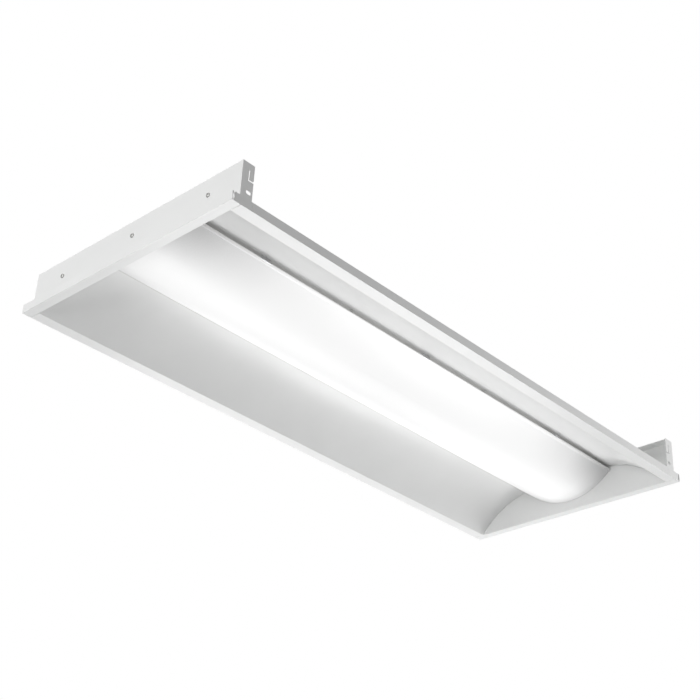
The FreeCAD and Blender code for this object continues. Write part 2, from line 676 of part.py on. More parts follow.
def access_plate():
    """The plate over the access opening, with two conduit knockouts and a screw hole."""
    body = new_body("access_plate")
    outline = sketch_on(body, "XY_Plane", f"{TOP_SHEET} + steel")
    long_half = "(access_length / 2 + access_lap)"
    wide_half = "(access_width / 2 + access_lap)"
    draw_box(outline, f"access_place - {long_half}", f"access_place + {long_half}",
             f"-{wide_half}", wide_half)
    for sign in "-+":
        draw_circle(outline, f"access_place {sign} knockout_spread", "0", "knockout_radius")
    draw_hole(outline, "access_place", ACCESS_SCREW_Y, HOLE)
    pad(body, outline, "steel")
    return keep(body, "access_plate")


def knockout_slug():
    """The slug that still closes one knockout."""
    body = new_body("knockout_slug")
    outline = sketch_on(body, "XY_Plane", f"{TOP_SHEET} + steel")
    draw_circle(outline, "access_place + knockout_spread", "0", "knockout_radius - hole_play")
    pad(body, outline, "steel")
    return keep(body, "knockout_slug")


def gear_tray():
    """The hat-shaped tray: lamp boards below its face, driver above it, flanges screwed under the top."""
    path = [(f"-{TRAY_OUT}", TRAY_TOP), (f"-{TRAY_SHOULDER}", TRAY_TOP), (f"-{TRAY_HALF}", "tray_height"),
            (TRAY_HALF, "tray_height"), (TRAY_SHOULDER, TRAY_TOP), (TRAY_OUT, TRAY_TOP)]
    hat = bent_sheet("gear_tray", path, f"2 * ({PLATE_IN} - seam_gap)")
    tabs = []
    for sign in (-1, 1):
        sketch = doc.addObject("Sketcher::SketchObject", "gear_tray_tab_outline")
        draw_box(sketch, "-tray_tab_width / 2", "tray_tab_width / 2", "tray_height + steel / 2",
                 f"{TRAY_FLOOR} + tray_tab_height")
        draw_hole(sketch, *TRAY_END_SPOT, HOLE)
        sketch.Placement = FreeCAD.Placement(FreeCAD.Vector(), ACROSS)
        tab = doc.addObject("Part::Extrusion", "gear_tray_tab")
        tab.Base = sketch
        tab.DirMode = "Custom"
        tab.Dir = FreeCAD.Vector(sign, 0, 0)
        tab.Solid = True
        tab.setExpression("LengthFwd", tie("steel + seam_gap"))
        tab.setExpression("Placement.Base.x", tie(f"{sign} * ({PLATE_IN} - steel - seam_gap)"))
        tabs.append(tab)
    tray = fuse("gear_tray_whole", [hat, *tabs])
    tray = drill("gear_tray_screw_holes", tray, [step_from(spot, "-Z", "steel") for spot in TRAY_SCREWS],
                 "+Z", HOLE, "steel * 3")
    spot = ("grommet_place", "0", "tray_height - steel")
    tray = cut("gear_tray_wire_hole", tray, [cylinder("wire_hole", spot, "+Z", "grommet_hole", "steel * 3")])
    board_spots = [(f"{sx}({x})", f"{sy}({y})", "tray_height - steel")
                   for x, y in BOARD_HOLES for sx in ("-", "") for sy in ("-", "")]
    tray = drill("gear_tray_board_holes", tray, board_spots, "+Z", "small_screw + hole_play", "steel * 3")
    ear_spots = [(x, "0", "tray_height - steel") for x in DRIVER_EARS]
    ground = (GROUND_SPOT[0], GROUND_SPOT[1], "tray_height - steel")
    tray = drill("gear_tray_driver_holes", tray, [*ear_spots, ground], "+Z", HOLE, "steel * 3")
    return keep(tray, "gear_tray")


def diffuser():
    """The long curved lens, with a round bead along each edge."""
    body = new_body("diffuser")
    length = f"2 * ({PLATE_IN} - lens_end_gap)"
    section = sketch_on(body, "YZ_Plane")
    out = f"{BEAD_Y} * {LENS_OUTER} / {LENS_MID}"
    low = f"{LENS_AXIS} - ({LENS_AXIS} - {BEAD_Z}) * {LENS_OUTER} / {LENS_MID}"
    inside = f"{BEAD_Y} * {LENS_CORE} / {LENS_MID}"
    high = f"{LENS_AXIS} - ({LENS_AXIS} - {BEAD_Z}) * {LENS_CORE} / {LENS_MID}"
    corners = [(f"-{out}", low), (out, low), (inside, high), (f"-{inside}", high)]
    draw_path(section, corners, {0: (LENS_OUTER, -1), 2: (LENS_CORE, 1)})
    pad(body, section, length, both_ways=True)
    beads = sketch_on(body, "YZ_Plane")
    draw_circle(beads, BEAD_Y, BEAD_Z, "bead_radius")
    draw_circle(beads, f"-{BEAD_Y}", BEAD_Z, "bead_radius")
    pad(body, beads, length, both_ways=True)
    return keep(body, "diffuser")


def lens_hinge_rail():
    """The open round channel that the lens's far bead turns in, with a fin riveted to the wing."""
    outer, length = f"({SOCKET} + rail_wall)", f"2 * ({PLATE_IN} - lens_end_gap)"
    end = (f"-({PLATE_IN} - lens_end_gap)", BEAD_Y, BEAD_Z)
    ring = cylinder("rail_ring", end, "+X", outer, length)
    ring.setExpression("Angle", tie("360 - rail_mouth"))
    bore = cylinder("rail_bore", end, "+X", SOCKET, length)
    turn = number("rail_mouth_turn + rail_mouth / 2")
    ring.Placement.Rotation = FreeCAD.Rotation(FreeCAD.Vector(1, 0, 0), turn).multiply(ACROSS)
    half = f"({PLATE_IN} - lens_end_gap)"
    fin = box("rail_fin_block", (f"-{half}", half), ("wing_inner - rail_wall", "wing_inner"),
              (BEAD_Z, FIN_TOP))
    rail = cut("rail_bored", fuse("rail_whole", [ring, fin]), [bore])
    spots = [(x, BEAD_Y, FIN_RIVET_Z) for x in RAIL_PLACES]
    rail = drill("rail_holes", rail, spots, "+Y", HOLE, "bead_inset + steel")
    return keep(rail, "lens_hinge_rail")


def lens_catches():
    """Three short spring clips, open downwards, that the lens's near bead pushes up into."""
    body = new_body("lens_catches", groups=True)
    outline = sketch_on(body, "YZ_Plane", "-catch_pitch")
    outer = f"({SOCKET} + catch_wall)"
    lip = f"{BEAD_Z} - catch_lip"
    draw_path(outline, [
        (f"-{BEAD_Y} + {SOCKET}", lip), (f"-{BEAD_Y} + {outer}", lip), (f"-{BEAD_Y} + {outer}", BEAD_Z),
        (f"-{BEAD_Y}", f"{BEAD_Z} + {outer}"), (f"-{BEAD_Y} - {outer}", BEAD_Z),
        (f"-{BEAD_Y} - {outer}", lip), (f"-{BEAD_Y} - {SOCKET}", lip), (f"-{BEAD_Y} - {SOCKET}", BEAD_Z),
        (f"-{BEAD_Y}", f"{BEAD_Z} + {SOCKET}"), (f"-{BEAD_Y} + {SOCKET}", BEAD_Z),
    ], {2: (outer, -1), 3: (outer, -1), 7: (SOCKET, 1), 8: (SOCKET, 1)})
    clip = pad(body, outline, "catch_length", both_ways=True)
    fin = sketch_on(body, "YZ_Plane", "-catch_pitch")
    draw_box(fin, "-wing_inner", "-wing_inner + catch_wall", f"{BEAD_Z} + {SOCKET}", FIN_TOP)
    stem = pad(body, fin, "catch_length", both_ways=True)
    hole = sketch_on(body, "XZ_Plane")
    draw_hole(hole, "-catch_pitch", FIN_RIVET_Z, HOLE)
    row(body, [clip, stem, cut_through(body, hole)], "3", "catch_pitch")
    return keep(body, "lens_catches")


def led_board(label, end, side):
    """A white board under the tray, with four screw holes."""
    body = new_body(label)
    outline = sketch_on(body, "XY_Plane", BOARD_LOW)
    sx, sy = ("-" if end < 0 else ""), ("-" if side < 0 else "")
    ends = sorted([f"{sx}(board_gap)", f"{sx}(board_gap + {BOARD_LENGTH})"], key=number)
    edges = sorted([f"{sy}(board_side - board_width / 2)", f"{sy}(board_side + board_width / 2)"], key=number)
    draw_box(outline, ends[0], ends[1], edges[0], edges[1])
    for x, y in BOARD_HOLES:
        draw_hole(outline, f"{sx}({x})", f"{sy}({y})", "small_screw + hole_play")
    pad(body, outline, "board_wall")
    return keep(body, label)


def led_emitters():
    """The emitters in their rows below the boards."""
    body = new_body("led_emitters", groups=True)
    first = sketch_on(body, "XY_Plane", f"{BOARD_LOW} - emitter_height")
    x = "board_gap + emitter_start"
    half = "emitter_size / 2"
    draw_box(first, f"{x} - {half}", f"{x} + {half}", f"board_side - {half}", f"board_side + {half}")
    block = pad(body, first, "emitter_height")
    doc.recompute()
    line = body.newObject("PartDesign::LinearPattern", "led_emitters_line")
    line.Direction = (origin_feature(body, "X_Axis"), [""])
    line.setExpression("Occurrences", tie(EMITTER_COUNT))
    line.setExpression("Length", tie(f"emitter_pitch * ({EMITTER_COUNT} - 1)"))
    steps = [line]
    for role in ("YZ_Plane", "XZ_Plane"):
        flip = body.newObject("PartDesign::Mirrored", "led_emitters_flip")
        flip.MirrorPlane = (origin_feature(body, role), [""])
        steps.append(flip)
    whole = body.newObject("PartDesign::MultiTransform", "led_emitters_all")
    whole.Originals = [block]
    whole.Transformations = steps
    body.Tip = whole
    return keep(body, "led_emitters")


def board_connectors():
    """A small plug block at the inner end of each board."""
    blocks = []
    for sx in ("-", ""):
        for sy in ("-", ""):
            x = [f"{sx}(plug_place - plug_length / 2)", f"{sx}(plug_place + plug_length / 2)"]
            y = [f"{sy}(board_side - plug_width / 2)", f"{sy}(board_side + plug_width / 2)"]
            blocks.append(box("board_plug", sorted(x, key=number), sorted(y, key=number),
                              (f"{BOARD_LOW} - plug_height", BOARD_LOW)))
    return keep(group("board_plugs", blocks), "board_connectors")


def screw_group(label, spots, direction, length, radius="screw_radius", head="screw_head",
                head_height="screw_head_height"):
    return keep(group(label, [screw(label, spot, direction, length, radius, head, head_height)
                              for spot in spots]), label)


def rivet_group(label, spots, direction, grip):
    return keep(group(label, [rivet(label, spot, direction, grip) for spot in spots]), label)


def fasteners():
    side, height = WING_END_SPOT
    end_spots = [(f"-{side}", height), TRAY_END_SPOT, WING_END_SPOT]
    near = [screw("left_end", (f"-{PLATE_OUT}", y, z), "+X", "steel * 2 + 5", "screw_radius", "screw_head",
                  "screw_head_height") for y, z in end_spots]
    far = [screw("right_end", (PLATE_OUT, y, z), "-X", "steel * 2 + 5", "screw_radius", "screw_head",
                 "screw_head_height") for y, z in end_spots]
    keep(group("end_plate_screws", near + far), "end_plate_screws")
    screw_group("tray_screws", TRAY_SCREWS, "+Z", "steel * 3")
    rivet_group("housing_rivets", TOP_RIVETS, "-Z", "steel * 2")
    rivet_group("rail_rivets", [(x, "wing_inner - rail_wall", FIN_RIVET_Z) for x in RAIL_PLACES],
                "+Y", "steel + rail_wall")
    rivet_group("catch_rivets", [(x, "-(wing_inner - catch_wall)", FIN_RIVET_Z) for x in CATCH_PLACES],
                "-Y", "steel + catch_wall")
    board_spots = [(f"{sx}({x})", f"{sy}({y})", BOARD_LOW)
                   for x, y in BOARD_HOLES for sx in ("-", "") for sy in ("-", "")]
    screw_group("board_screws", board_spots, "+Z", "board_wall + steel + 1.5", "small_screw", "small_head",
                "small_head_height")
    screw_group("access_screw", [("access_place", ACCESS_SCREW_Y, "fixture_height")], "-Z", "6")
    ear_top = f"{TRAY_FLOOR} + steel"
    screw_group("driver_screws", [(x, "0", ear_top) for x in DRIVER_EARS], "-Z", "steel * 2 + 2")
    screw_group("ground_screw", [GROUND_SPOT], "-Z", "ring_wall + steel + 2")


def driver_case():
    """The flat steel case of the driver, with an ear and a screw slot at each end."""
    body = new_body("driver_case")
    section = sketch_on(body, "YZ_Plane", "driver_place")
    half = "driver_width / 2"
    top = f"{TRAY_FLOOR} + driver_height"
    draw_path(section, [
        (f"-{half}", TRAY_FLOOR), (half, TRAY_FLOOR), (half, f"{top} - driver_bevel"),
        (f"{half} - driver_bevel", top), (f"-{half} + driver_bevel", top), (f"-{half}", f"{top} - driver_bevel"),
    ])
    pad(body, section, "driver_length", both_ways=True)
    ears = sketch_on(body, "XY_Plane", TRAY_FLOOR)
    draw_box(ears, "driver_place - driver_length / 2 - driver_ear", "driver_place + driver_length / 2 + driver_ear",
             f"-{half} * 0.6", f"{half} * 0.6")
    pad(body, ears, "steel")
    slots = sketch_on(body, "XY_Plane", TRAY_FLOOR)
    for x in DRIVER_EARS:
        draw_slot(slots, x, "0", f"2 * {HOLE} + 2", f"2 * {HOLE}")
    cut_through(body, slots)
    return keep(body, "driver_case")


def driver_terminals():
    """A terminal block at each end of the driver, above the ears' screws."""
    height = (TERMINAL_LOW, f"{TERMINAL_LOW} + terminal_height")
    across = ("-terminal_width / 2", "terminal_width / 2")
    left = box("terminal_left", (TERMINAL_LEFT, f"{TERMINAL_LEFT} + terminal_length"), across, height)
    right = box("terminal_right", (f"{TERMINAL_RIGHT} - terminal_length", TERMINAL_RIGHT), across, height)
    keep(group("terminals", [left, right]), "driver_terminals")


# Wires: round sections swept along sketches

PLANES = {
    "XZ": (FreeCAD.Rotation(FreeCAD.Vector(1, 0, 0), 90), lambda away, across, up: (across, away, up)),
    "YZ": (ACROSS, lambda away, across, up: (away, across, up)),
    "XY": (FreeCAD.Rotation(), lambda away, across, up: (across, up, away)),
}


def swept(name, plane, away, corners, arcs=None):
    """A wire along corners in one plane. Its first side is straight."""
    turn, lift = PLANES[plane]
    path = doc.addObject("Sketcher::SketchObject", name + "_path")
    draw_path(path, corners, arcs, closed=False)
    path.Placement.Rotation = turn
    place(path, *lift(away, "0", "0"))
    rim = doc.addObject("Part::RegularPolygon", name + "_rim")
    rim.Polygon = WIRE_SIDES
    rim.setExpression("Circumradius", tie("wire_radius"))
    ahead = turn.multVec(point(*corners[1]) - point(*corners[0]))
    rim.Placement.Rotation = FreeCAD.Rotation(FreeCAD.Vector(0, 0, 1), ahead)
    place(rim, *lift(away, *corners[0]))
    doc.recompute()
    wire = doc.addObject("Part::Sweep", name + "_run")
    wire.Sections = [rim]
    wire.Spine = (path, ["Edge" + str(side + 1) for side in range(len(corners) - 1)])
    wire.Solid = True
    return wire


def supply_lead(label, across, level, end):
    """From the driver's left terminal down to level, then straight to end. The two bends share one radius."""
    start = TERMINAL_LEFT
    high = f"({start} - supply_start)"
    drop = f"(({TERMINAL_Z} - {level}) / 2)"
    bend = f"((supply_slope^2 + {drop}^2) / (2 * {drop}))"
    print(label, "bends", round(number(bend), 1))
    corners = [(start, TERMINAL_Z), (high, TERMINAL_Z), (f"{high} - supply_slope", f"{TERMINAL_Z} - {drop}"),
               (f"{high} - 2 * supply_slope", level), (end, level)]
    return swept(label, "XZ", across, corners, {1: (bend, -1), 2: (bend, 1)})


def supply_leads():
    splice_end = "(splice_place + splice_length / 2)"
    keep(supply_lead("lead_live", "-supply_pitch", SPLICE_Z, splice_end), "lead_live")
    keep(supply_lead("lead_neutral", "0", SPLICE_Z, splice_end), "lead_neutral")
    x, y, z = GROUND_SPOT
    run = supply_lead("lead_ground_wire", "supply_pitch", GROUND_Z, f"{x} + (screw_head + ring_radius) / 2")
    ring = cylinder("lead_ground_ring", (x, y, TRAY_FLOOR), "+Z", "ring_radius", "ring_wall")
    hole = bar("lead_ground_hole", (x, y, TRAY_FLOOR), "+Z", f"{HOLE} * {AROUND}", "2 * wire_radius")
    keep(cut("lead_ground_whole", fuse("lead_ground_joined", [run, ring]), [hole]), "lead_ground")
    blocks = []
    for y in ("-supply_pitch", "0"):
        blocks.append(box("splice", ("splice_place - splice_length / 2", splice_end),
                          (f"{y} - splice_width / 2", f"{y} + splice_width / 2"),
                          (TRAY_FLOOR, f"{TRAY_FLOOR} + splice_height")))
    keep(group("splices", blocks), "splice_connectors")


def led_lead(label, sign):
    """From the driver's right terminal, down through the grommet and across to a board's connector."""
    side, far_side = f"{sign}lamp_side", f"{sign}board_side"
    joint_z = "tray_height + steel / 2"
    above = swept(label + "_above", "XZ", side, [
        (TERMINAL_RIGHT, TERMINAL_Z), ("grommet_place - lamp_bend", TERMINAL_Z),
        ("grommet_place", f"{TERMINAL_Z} - lamp_bend"), ("grommet_place", joint_z)], {1: ("lamp_bend", 1)})
    turn = -1 if sign == "" else 1
    out = f"{sign}(lamp_side + lamp_low_bend)"
    before = f"{sign}(board_side - lamp_turn)"
    middle = f"{sign}(board_side / 2)"
    below = swept(label + "_below", "YZ", "grommet_place", [
        (side, joint_z), (side, f"{LAMP_LOW} + lamp_low_bend"), (out, LAMP_LOW), (middle, LAMP_LOW)],
        {1: ("lamp_low_bend", turn)})
    across = swept(label + "_across", "XY", LAMP_LOW, [
        ("grommet_place", middle), ("grommet_place", before), ("grommet_place - lamp_turn", far_side),
        ("plug_place + plug_length / 2", far_side)], {1: ("lamp_turn", turn)})
    return keep(fuse(label + "_whole", [above, below, across]), label)


def small_wiring():
    """The jumpers between the boards, the grommet and the saddles that hold the wires."""
    wires = []
    gap = "2 * (plug_place - plug_length / 2)"
    for sign in "-+":
        for step in "-+":
            y = f"{sign}board_side {step} lamp_side"
            wires.append(bar("jumper", (f"-({gap}) / 2", y, LAMP_LOW), "+X", "wire_radius", gap))
    keep(group("jumpers", wires), "board_jumpers")
    low = ("grommet_place", "0", "tray_height - grommet_wall")
    high = ("grommet_place", "0", TRAY_FLOOR)
    tall = "2 * grommet_wall + steel"
    whole = fuse("grommet_whole", [
        cylinder("grommet_neck", low, "+Z", "grommet_hole - hole_play", tall),
        cylinder("grommet_low_lip", low, "+Z", "grommet_lip", "grommet_wall"),
        cylinder("grommet_high_lip", high, "+Z", "grommet_lip", "grommet_wall")])
    keep(cut("grommet_open", whole, [cylinder("grommet_hole", low, "+Z", "grommet_bore", tall)]),
         "tray_grommet")
    saddles = [saddle("live", "supply_saddle", ["-supply_pitch"], SPLICE_Z),
               saddle("neutral", "supply_saddle", ["0"], SPLICE_Z),
               saddle("ground", "supply_saddle", ["supply_pitch"], GROUND_Z),
               saddle("lamp", "lamp_saddle", ["-lamp_side", "lamp_side"], TERMINAL_Z)]
    keep(group("saddles", saddles), "lead_clips")


def saddle(name, x, places, level):
    """A block on the tray's floor with a hole for each wire."""
    start = f"({x} - saddle_length / 2)"
    reach = "(wire_radius + saddle_wall)"
    block = box(name + "_saddle", (start, f"{start} + saddle_length"),
                (f"{places[0]} - {reach}", f"{places[-1]} + {reach}"), (TRAY_FLOOR, f"{level} + {reach}"))
    return drill(name + "_saddle_open", block, [(start, y, level) for y in places], "+X",
                 "wire_radius + hole_play", "saddle_length")


wing_reflector("wing_reflector_back", 0, RAIL_PLACES)
wing_reflector("wing_reflector_front", 180, CATCH_PLACES)
end_plate("end_plate_right", 0)
end_plate("end_plate_left", 180)
housing_top()
access_plate()
knockout_slug()
gear_tray()
diffuser()
lens_hinge_rail()
lens_catches()
for end, end_name in ((-1, "left"), (1, "right")):
    for side, side_name in ((-1, "front"), (1, "back")):
        led_board(f"led_board_{end_name}_{side_name}", end, side)
        grid_clip(f"grid_clip_{end_name}_{side_name}", end, side)
led_emitters()
board_connectors()
driver_case()
driver_terminals()
supply_leads()
led_lead("led_lead_front", "-")
led_lead("led_lead_back", "")
small_wiring()
fasteners()
doc.recompute()

for thing in doc.Objects:
    if "Invalid" in thing.State or "Error" in thing.State:
        raise RuntimeError(f"{thing.Name}: {thing.getStatusString()}")
os.makedirs("parts", exist_ok=True)
for piece in PARTS:
    if piece.Shape.isNull() or not piece.Shape.isValid() or not piece.Shape.Solids:
        raise RuntimeError(piece.Label + ": no valid solid")
    piece.Shape.exportStep("parts/" + piece.Label + ".step")
    b = piece.Shape.BoundBox
    print(piece.Label, len(piece.Shape.Solids),
          [round(v, 1) for v in (b.XMin, b.XMax, b.YMin, b.YMax, b.ZMin, b.ZMax)])
print(len(PARTS), "sub-parts")
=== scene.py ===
import json
import math

import bmesh
import bpy
from mathutils import Matrix, Vector

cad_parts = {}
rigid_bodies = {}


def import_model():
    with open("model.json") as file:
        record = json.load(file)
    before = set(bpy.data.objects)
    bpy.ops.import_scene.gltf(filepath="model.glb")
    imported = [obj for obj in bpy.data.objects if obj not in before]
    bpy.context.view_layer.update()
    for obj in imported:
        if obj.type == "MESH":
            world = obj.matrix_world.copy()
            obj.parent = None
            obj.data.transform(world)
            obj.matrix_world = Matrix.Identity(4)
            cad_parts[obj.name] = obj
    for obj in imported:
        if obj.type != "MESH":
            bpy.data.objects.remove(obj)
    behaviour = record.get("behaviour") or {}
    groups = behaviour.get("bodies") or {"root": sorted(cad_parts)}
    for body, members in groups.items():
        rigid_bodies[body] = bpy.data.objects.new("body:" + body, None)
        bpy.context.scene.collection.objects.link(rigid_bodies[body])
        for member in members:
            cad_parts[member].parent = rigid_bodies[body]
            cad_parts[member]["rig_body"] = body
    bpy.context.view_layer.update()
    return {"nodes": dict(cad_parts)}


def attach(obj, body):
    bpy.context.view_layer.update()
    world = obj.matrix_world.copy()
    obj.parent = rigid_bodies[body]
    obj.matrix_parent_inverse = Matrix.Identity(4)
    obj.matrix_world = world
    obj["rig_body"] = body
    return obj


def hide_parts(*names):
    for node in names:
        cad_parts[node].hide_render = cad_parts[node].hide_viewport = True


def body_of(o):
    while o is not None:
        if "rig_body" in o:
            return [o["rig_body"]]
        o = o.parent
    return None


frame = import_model()
nodes = frame["nodes"]

# Node materials; sizes are in metres

CLOUD_SIZE = 0.09
DUST_SIZE = 0.0016
ORANGE_PEEL_SIZE = 0.0022

# Places of the colour sockets of a mix node
MIX_FACTOR, MIX_FIRST, MIX_SECOND, MIX_RESULT = 0, 6, 7, 2

# The lens: half its length, the band of |y| where its middle's painted glow gives way to its sides', and the
# glow at places along its half length. The glow is painted light that stands in for the boards' light through the
# lens, and its fall-off is painted shade. INNER_LOSS is the share of the glow that its inner side lacks, painted
# shade, and FACING_BAND is how far a normal's Z goes below and above zero while outer side turns to inner.
LENS_HALF = 0.589
SIDES_FROM, SIDES_TO = 0.030, 0.095
GLOW_MIDDLE = [(0.0, 0.49), (0.35, 0.52), (0.6, 0.55), (0.8, 0.55), (0.92, 0.55), (1.0, 0.40)]
GLOW_SIDES = [(0.0, 0.80), (0.35, 0.73), (0.6, 0.62), (0.8, 0.42), (0.92, 0.20), (1.0, 0.10)]
INNER_LOSS = 0.72
INNER_COLOUR = (0.80, 0.80, 0.80, 1)
FACING_BAND = 0.05


def new_material(name):
    """A material with its node tree and its shader, linked to an output."""
    material = bpy.data.materials.new(name)
    material.use_nodes = True
    tree = material.node_tree
    tree.nodes.clear()
    output = tree.nodes.new("ShaderNodeOutputMaterial")
    shader = tree.nodes.new("ShaderNodeBsdfPrincipled")
    tree.links.new(shader.outputs["BSDF"], output.inputs["Surface"])
    return material, tree, shader


def add(tree, kind, values=None, links=None, **settings):
    """A new node with its inputs set or linked."""
    node = tree.nodes.new(kind)
    for key, value in settings.items():
        setattr(node, key, value)
    for key, value in (values or {}).items():
        node.inputs[key].default_value = value
    for key, socket in (links or {}).items():
        tree.links.new(socket, node.inputs[key])
    return node


def ramp(tree, factor, stops):
    """A colour ramp over a factor, from (place, colour) stops."""
    node = add(tree, "ShaderNodeValToRGB", links={"Fac": factor})
    band = node.color_ramp
    while len(band.elements) < len(stops):
        band.elements.new(0.5)
    for element, (place, colour) in zip(band.elements, stops):
        element.position = place
        element.color = (*colour, 1)
    return node.outputs["Color"]


def mix_colours(tree, factor, first, second, blend_type="MIX"):
    """Two colours mixed; each input is a socket or a value."""
    node = add(tree, "ShaderNodeMix", data_type="RGBA", blend_type=blend_type)
    for index, given in ((MIX_FACTOR, factor), (MIX_FIRST, first), (MIX_SECOND, second)):
        if isinstance(given, bpy.types.NodeSocket):
            tree.links.new(given, node.inputs[index])
        else:
            node.inputs[index].default_value = given
    return node.outputs[MIX_RESULT]


def position(tree, scale=(1, 1, 1)):
    """Where a point is on the object, in metres, stretched by scale."""
    where = add(tree, "ShaderNodeTexCoord")
    return add(tree, "ShaderNodeMapping", {"Scale": scale}, {"Vector": where.outputs["Object"]}).outputs["Vector"]


def noise(tree, size, detail=3.0, rough=0.5, scale=(1, 1, 1)):
    """Noise whose patches are about that many metres across."""
    return add(tree, "ShaderNodeTexNoise", {"Scale": 1 / size, "Detail": detail, "Roughness": rough},
               {"Vector": position(tree, scale)}).outputs["Fac"]


def bump(tree, shader, height, strength, distance):
    """Fine relief from a height."""
    node = add(tree, "ShaderNodeBump", {"Strength": strength, "Distance": distance}, {"Height": height})
    tree.links.new(node.outputs["Normal"], shader.inputs["Normal"])


def patchy(tree, factor, shade, colour):
    """A tone that runs from shade to colour over the middle of a noise."""
    return ramp(tree, factor, [(0.3, shade), (0.7, colour)])


def grey(value):
    """A colour with that value in all three channels."""
    return (value, value, value)


def roughness_range(tree, shader, factor, lowest, highest):
    """A roughness that follows a factor from lowest to highest."""
    gloss = add(tree, "ShaderNodeMapRange", {"To Min": lowest, "To Max": highest}, {"Value": factor})
    tree.links.new(gloss.outputs["Result"], shader.inputs["Roughness"])


def enamel(name, colour, shade, roughness=0.38, coat=0.25):
    """Baked enamel on sheet steel: fine orange peel, a very faint cloudiness and a few dust specks."""
    material, tree, shader = new_material(name)
    tone = patchy(tree, noise(tree, CLOUD_SIZE, 4), shade, colour)
    dust = ramp(tree, noise(tree, DUST_SIZE, 1), [(0.0, grey(1)), (0.74, grey(1)), (0.8, (0.9, 0.9, 0.88))])
    tree.links.new(mix_colours(tree, 0.5, tone, dust, "MULTIPLY"), shader.inputs["Base Color"])
    roughness_range(tree, shader, noise(tree, 0.03, 3), roughness - 0.05, roughness + 0.07)
    shader.inputs["Coat Weight"].default_value = coat
    shader.inputs["Coat Roughness"].default_value = 0.22
    shader.inputs["Specular IOR Level"].default_value = 0.4
    bump(tree, shader, noise(tree, ORANGE_PEEL_SIZE, 2), 0.10, 0.00012)
    return material


def metal(name, colour, shade, roughness, grain=(1, 1, 1), size=0.004):
    """Bare or plated metal with a patchy or drawn finish."""
    material, tree, shader = new_material(name)
    shader.inputs["Metallic"].default_value = 1.0
    patch = noise(tree, size, 4, 0.6, grain)
    tree.links.new(patchy(tree, patch, shade, colour), shader.inputs["Base Color"])
    roughness_range(tree, shader, patch, roughness - 0.1, roughness + 0.12)
    bump(tree, shader, patch, 0.12, 0.00008)
    return material


def plastic(name, colour, shade, roughness=0.45, size=0.003, strength=0.1):
    """Moulded or extruded plastic with a fine grain."""
    material, tree, shader = new_material(name)
    tree.links.new(patchy(tree, noise(tree, size * 8, 3), shade, colour), shader.inputs["Base Color"])
    grain = noise(tree, size * 0.2, 2)
    roughness_range(tree, shader, grain, roughness - 0.06, roughness + 0.08)
    bump(tree, shader, grain, strength, 0.00006)
    return material


def lens_material():
    """Frosted acrylic, its light from inside a painted glow: brightest in the middle, painted shade on its inner
    side.
    """
    material, tree, shader = new_material("frosted_acrylic_painted_glow")
    # Painted glow: the lens emits light in place of the light the boards send through it.
    where = add(tree, "ShaderNodeSeparateXYZ", links={"Vector": position(tree)})
    along = add(tree, "ShaderNodeMath", {1: 1 / LENS_HALF}, {0: where.outputs["X"]}, operation="MULTIPLY")
    along = add(tree, "ShaderNodeMath", links={0: along.outputs[0]}, operation="ABSOLUTE").outputs[0]
    across = add(tree, "ShaderNodeMath", links={0: where.outputs["Y"]}, operation="ABSOLUTE").outputs[0]
    side = add(tree, "ShaderNodeMapRange", {"From Min": SIDES_FROM, "From Max": SIDES_TO}, {"Value": across})
    middle_glow, side_glow = [ramp(tree, along, [(place, grey(value)) for place, value in stops])
                              for stops in (GLOW_MIDDLE, GLOW_SIDES)]
    light = mix_colours(tree, side.outputs["Result"], middle_glow, side_glow)
    cloud = patchy(tree, noise(tree, 0.15, 2), grey(0.985), grey(1))
    clouded = mix_colours(tree, 1.0, light, cloud, "MULTIPLY")
    # Painted shade: where the normal points up, the inner side loses INNER_LOSS of the painted glow.
    normal = add(tree, "ShaderNodeTexCoord").outputs["Normal"]
    facing = add(tree, "ShaderNodeSeparateXYZ", links={"Vector": normal})
    inside = add(tree, "ShaderNodeMapRange", {"From Min": -FACING_BAND, "From Max": FACING_BAND},
                 {"Value": facing.outputs["Z"]}).outputs["Result"]
    inner_painted_shade = add(tree, "ShaderNodeMath", {1: INNER_LOSS}, {0: inside}, operation="MULTIPLY").outputs[0]
    tree.links.new(mix_colours(tree, inner_painted_shade, clouded, (0, 0, 0, 1)), shader.inputs["Emission Color"])
    shader.inputs["Emission Strength"].default_value = 1.0
    # The outer side's base is a grey that the painted glow lifts to white; the inner side, with less glow, is
    # whiter.
    frost = noise(tree, 0.0012, 2)
    tone = patchy(tree, frost, grey(0.43), grey(0.47))
    tree.links.new(mix_colours(tree, inside, tone, INNER_COLOUR), shader.inputs["Base Color"])
    shader.inputs["Roughness"].default_value = 0.5
    bump(tree, shader, frost, 0.15, 0.0001)
    return material


white = enamel("white_enamel", (0.86, 0.865, 0.86), (0.835, 0.84, 0.835))
back_white = enamel("housing_enamel", (0.80, 0.80, 0.79), (0.75, 0.75, 0.74), 0.5, 0.1)
tray_white = enamel("reflector_enamel", (0.90, 0.90, 0.89), (0.87, 0.87, 0.86), 0.45, 0.1)
zinc = metal("zinc_plate", (0.46, 0.46, 0.45), (0.30, 0.30, 0.29), 0.42)
case_steel = metal("galvanised_sheet", (0.60, 0.61, 0.62), (0.44, 0.45, 0.46), 0.42, size=0.012)
bright_zinc = metal("bright_zinc_plate", (0.84, 0.84, 0.83), (0.74, 0.74, 0.73), 0.45)
spring = metal("spring_steel", (0.80, 0.80, 0.80), (0.70, 0.70, 0.71), 0.42, (1, 12, 12))
rivet_alu = metal("rivet_aluminium", (0.82, 0.82, 0.81), (0.70, 0.70, 0.69), 0.42)
green_metal = enamel("green_screw_lacquer", (0.03, 0.30, 0.10), (0.02, 0.22, 0.07), 0.35)
rail_plastic = plastic("rail_plastic", (0.74, 0.74, 0.72), (0.68, 0.68, 0.66))
mask = plastic("board_mask", (0.86, 0.86, 0.84), (0.81, 0.81, 0.79), 0.25)
